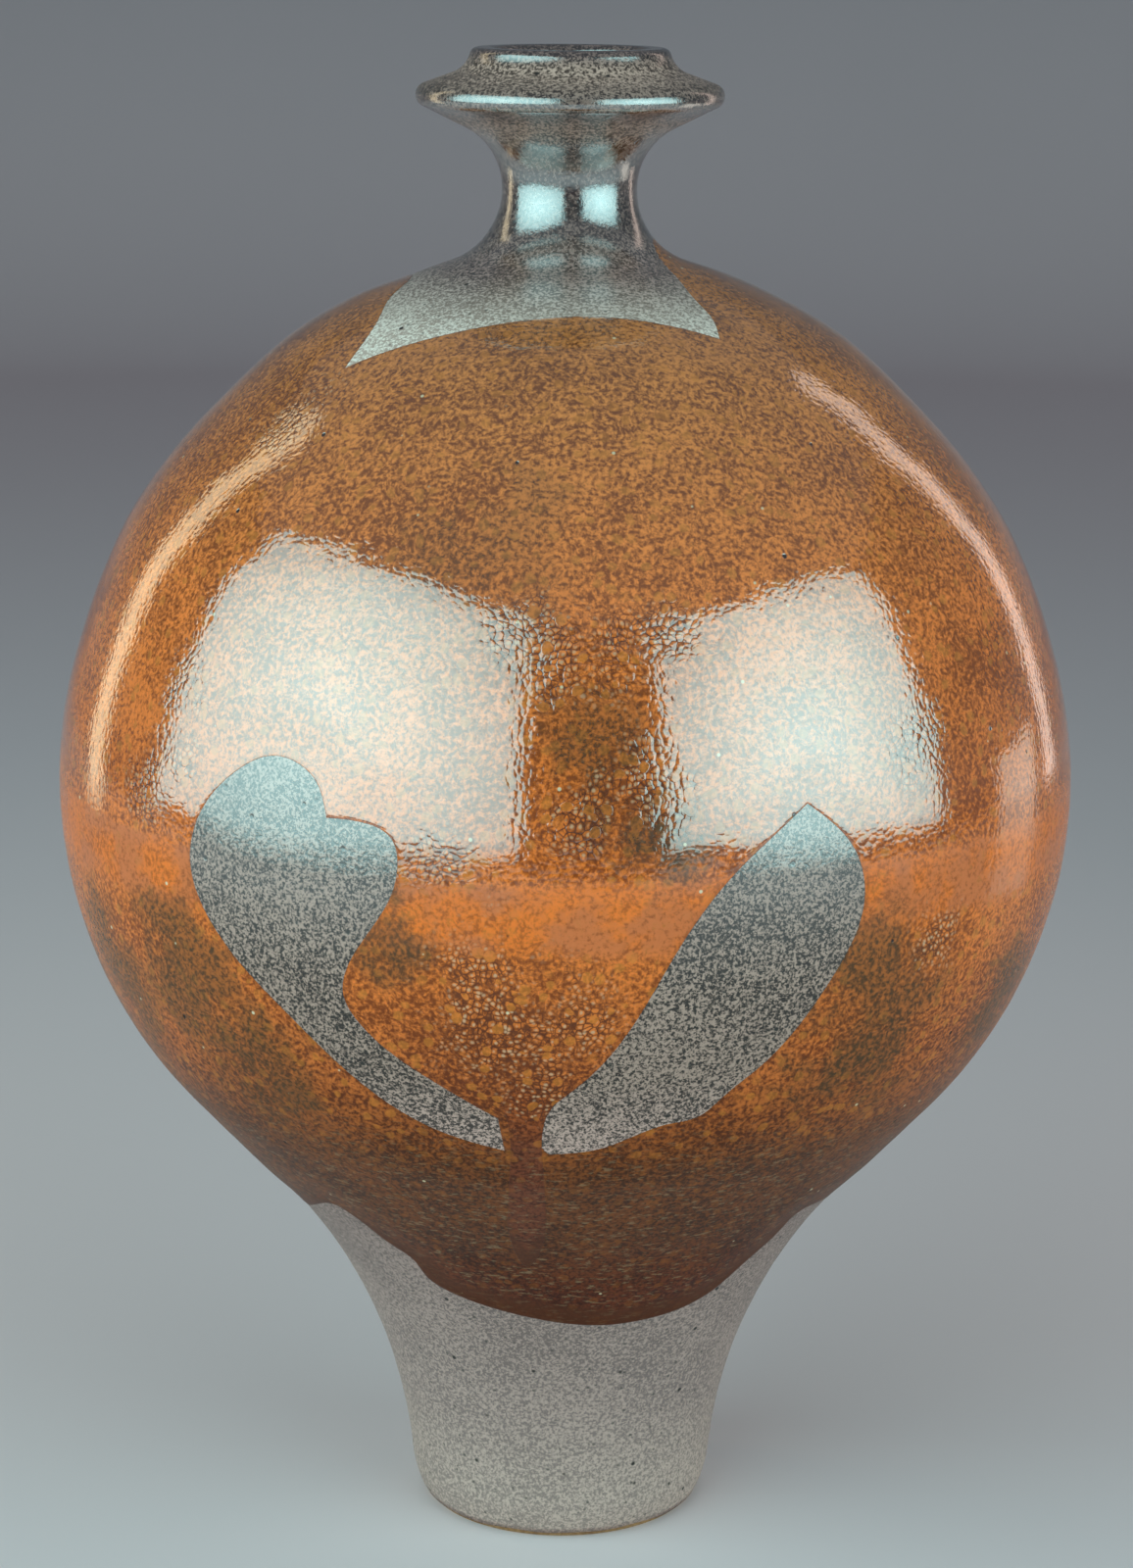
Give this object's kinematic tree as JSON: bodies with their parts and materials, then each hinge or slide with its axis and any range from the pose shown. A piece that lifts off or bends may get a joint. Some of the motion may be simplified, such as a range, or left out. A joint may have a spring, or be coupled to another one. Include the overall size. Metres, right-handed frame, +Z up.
{
  "type": "bottle vase",
  "caption": "Round-bellied stoneware bottle vase on a tall flared foot, with a narrow flanged neck and amber glaze poured over grey.",
  "frame": {"origin": "centre of the foot ring's resting plane, on the jar's axis", "axes": "+Z up along the jar's axis, -Y towards the front with the two bare glaze windows, +X to the viewer's right"},
  "size_m": [0.2074, 0.2074, 0.305],
  "materials": {
    "stoneware": "unglazed, matt",
    "slip": "unglazed, matt",
    "grey_ash_glaze": "speckled, satin to glossy",
    "amber_glaze": "mottled, glossy",
    "liner_glaze": "glossy"
  },
  "bodies": {
    "root": {"foot_stem": "stoneware", "lower_bowl": "stoneware", "upper_bowl": "stoneware", "neck_rim": "stoneware", "foot_joint_slip": "slip", "belly_joint_slip": "slip", "neck_joint_slip": "slip", "foot_seam_coil": "stoneware", "belly_seam_coil": "stoneware", "grey_glaze_coat": "grey_ash_glaze", "amber_glaze_coat": "amber_glaze", "amber_glaze_run": "amber_glaze", "liner_glaze": "liner_glaze"}
  },
  "joints": []
}
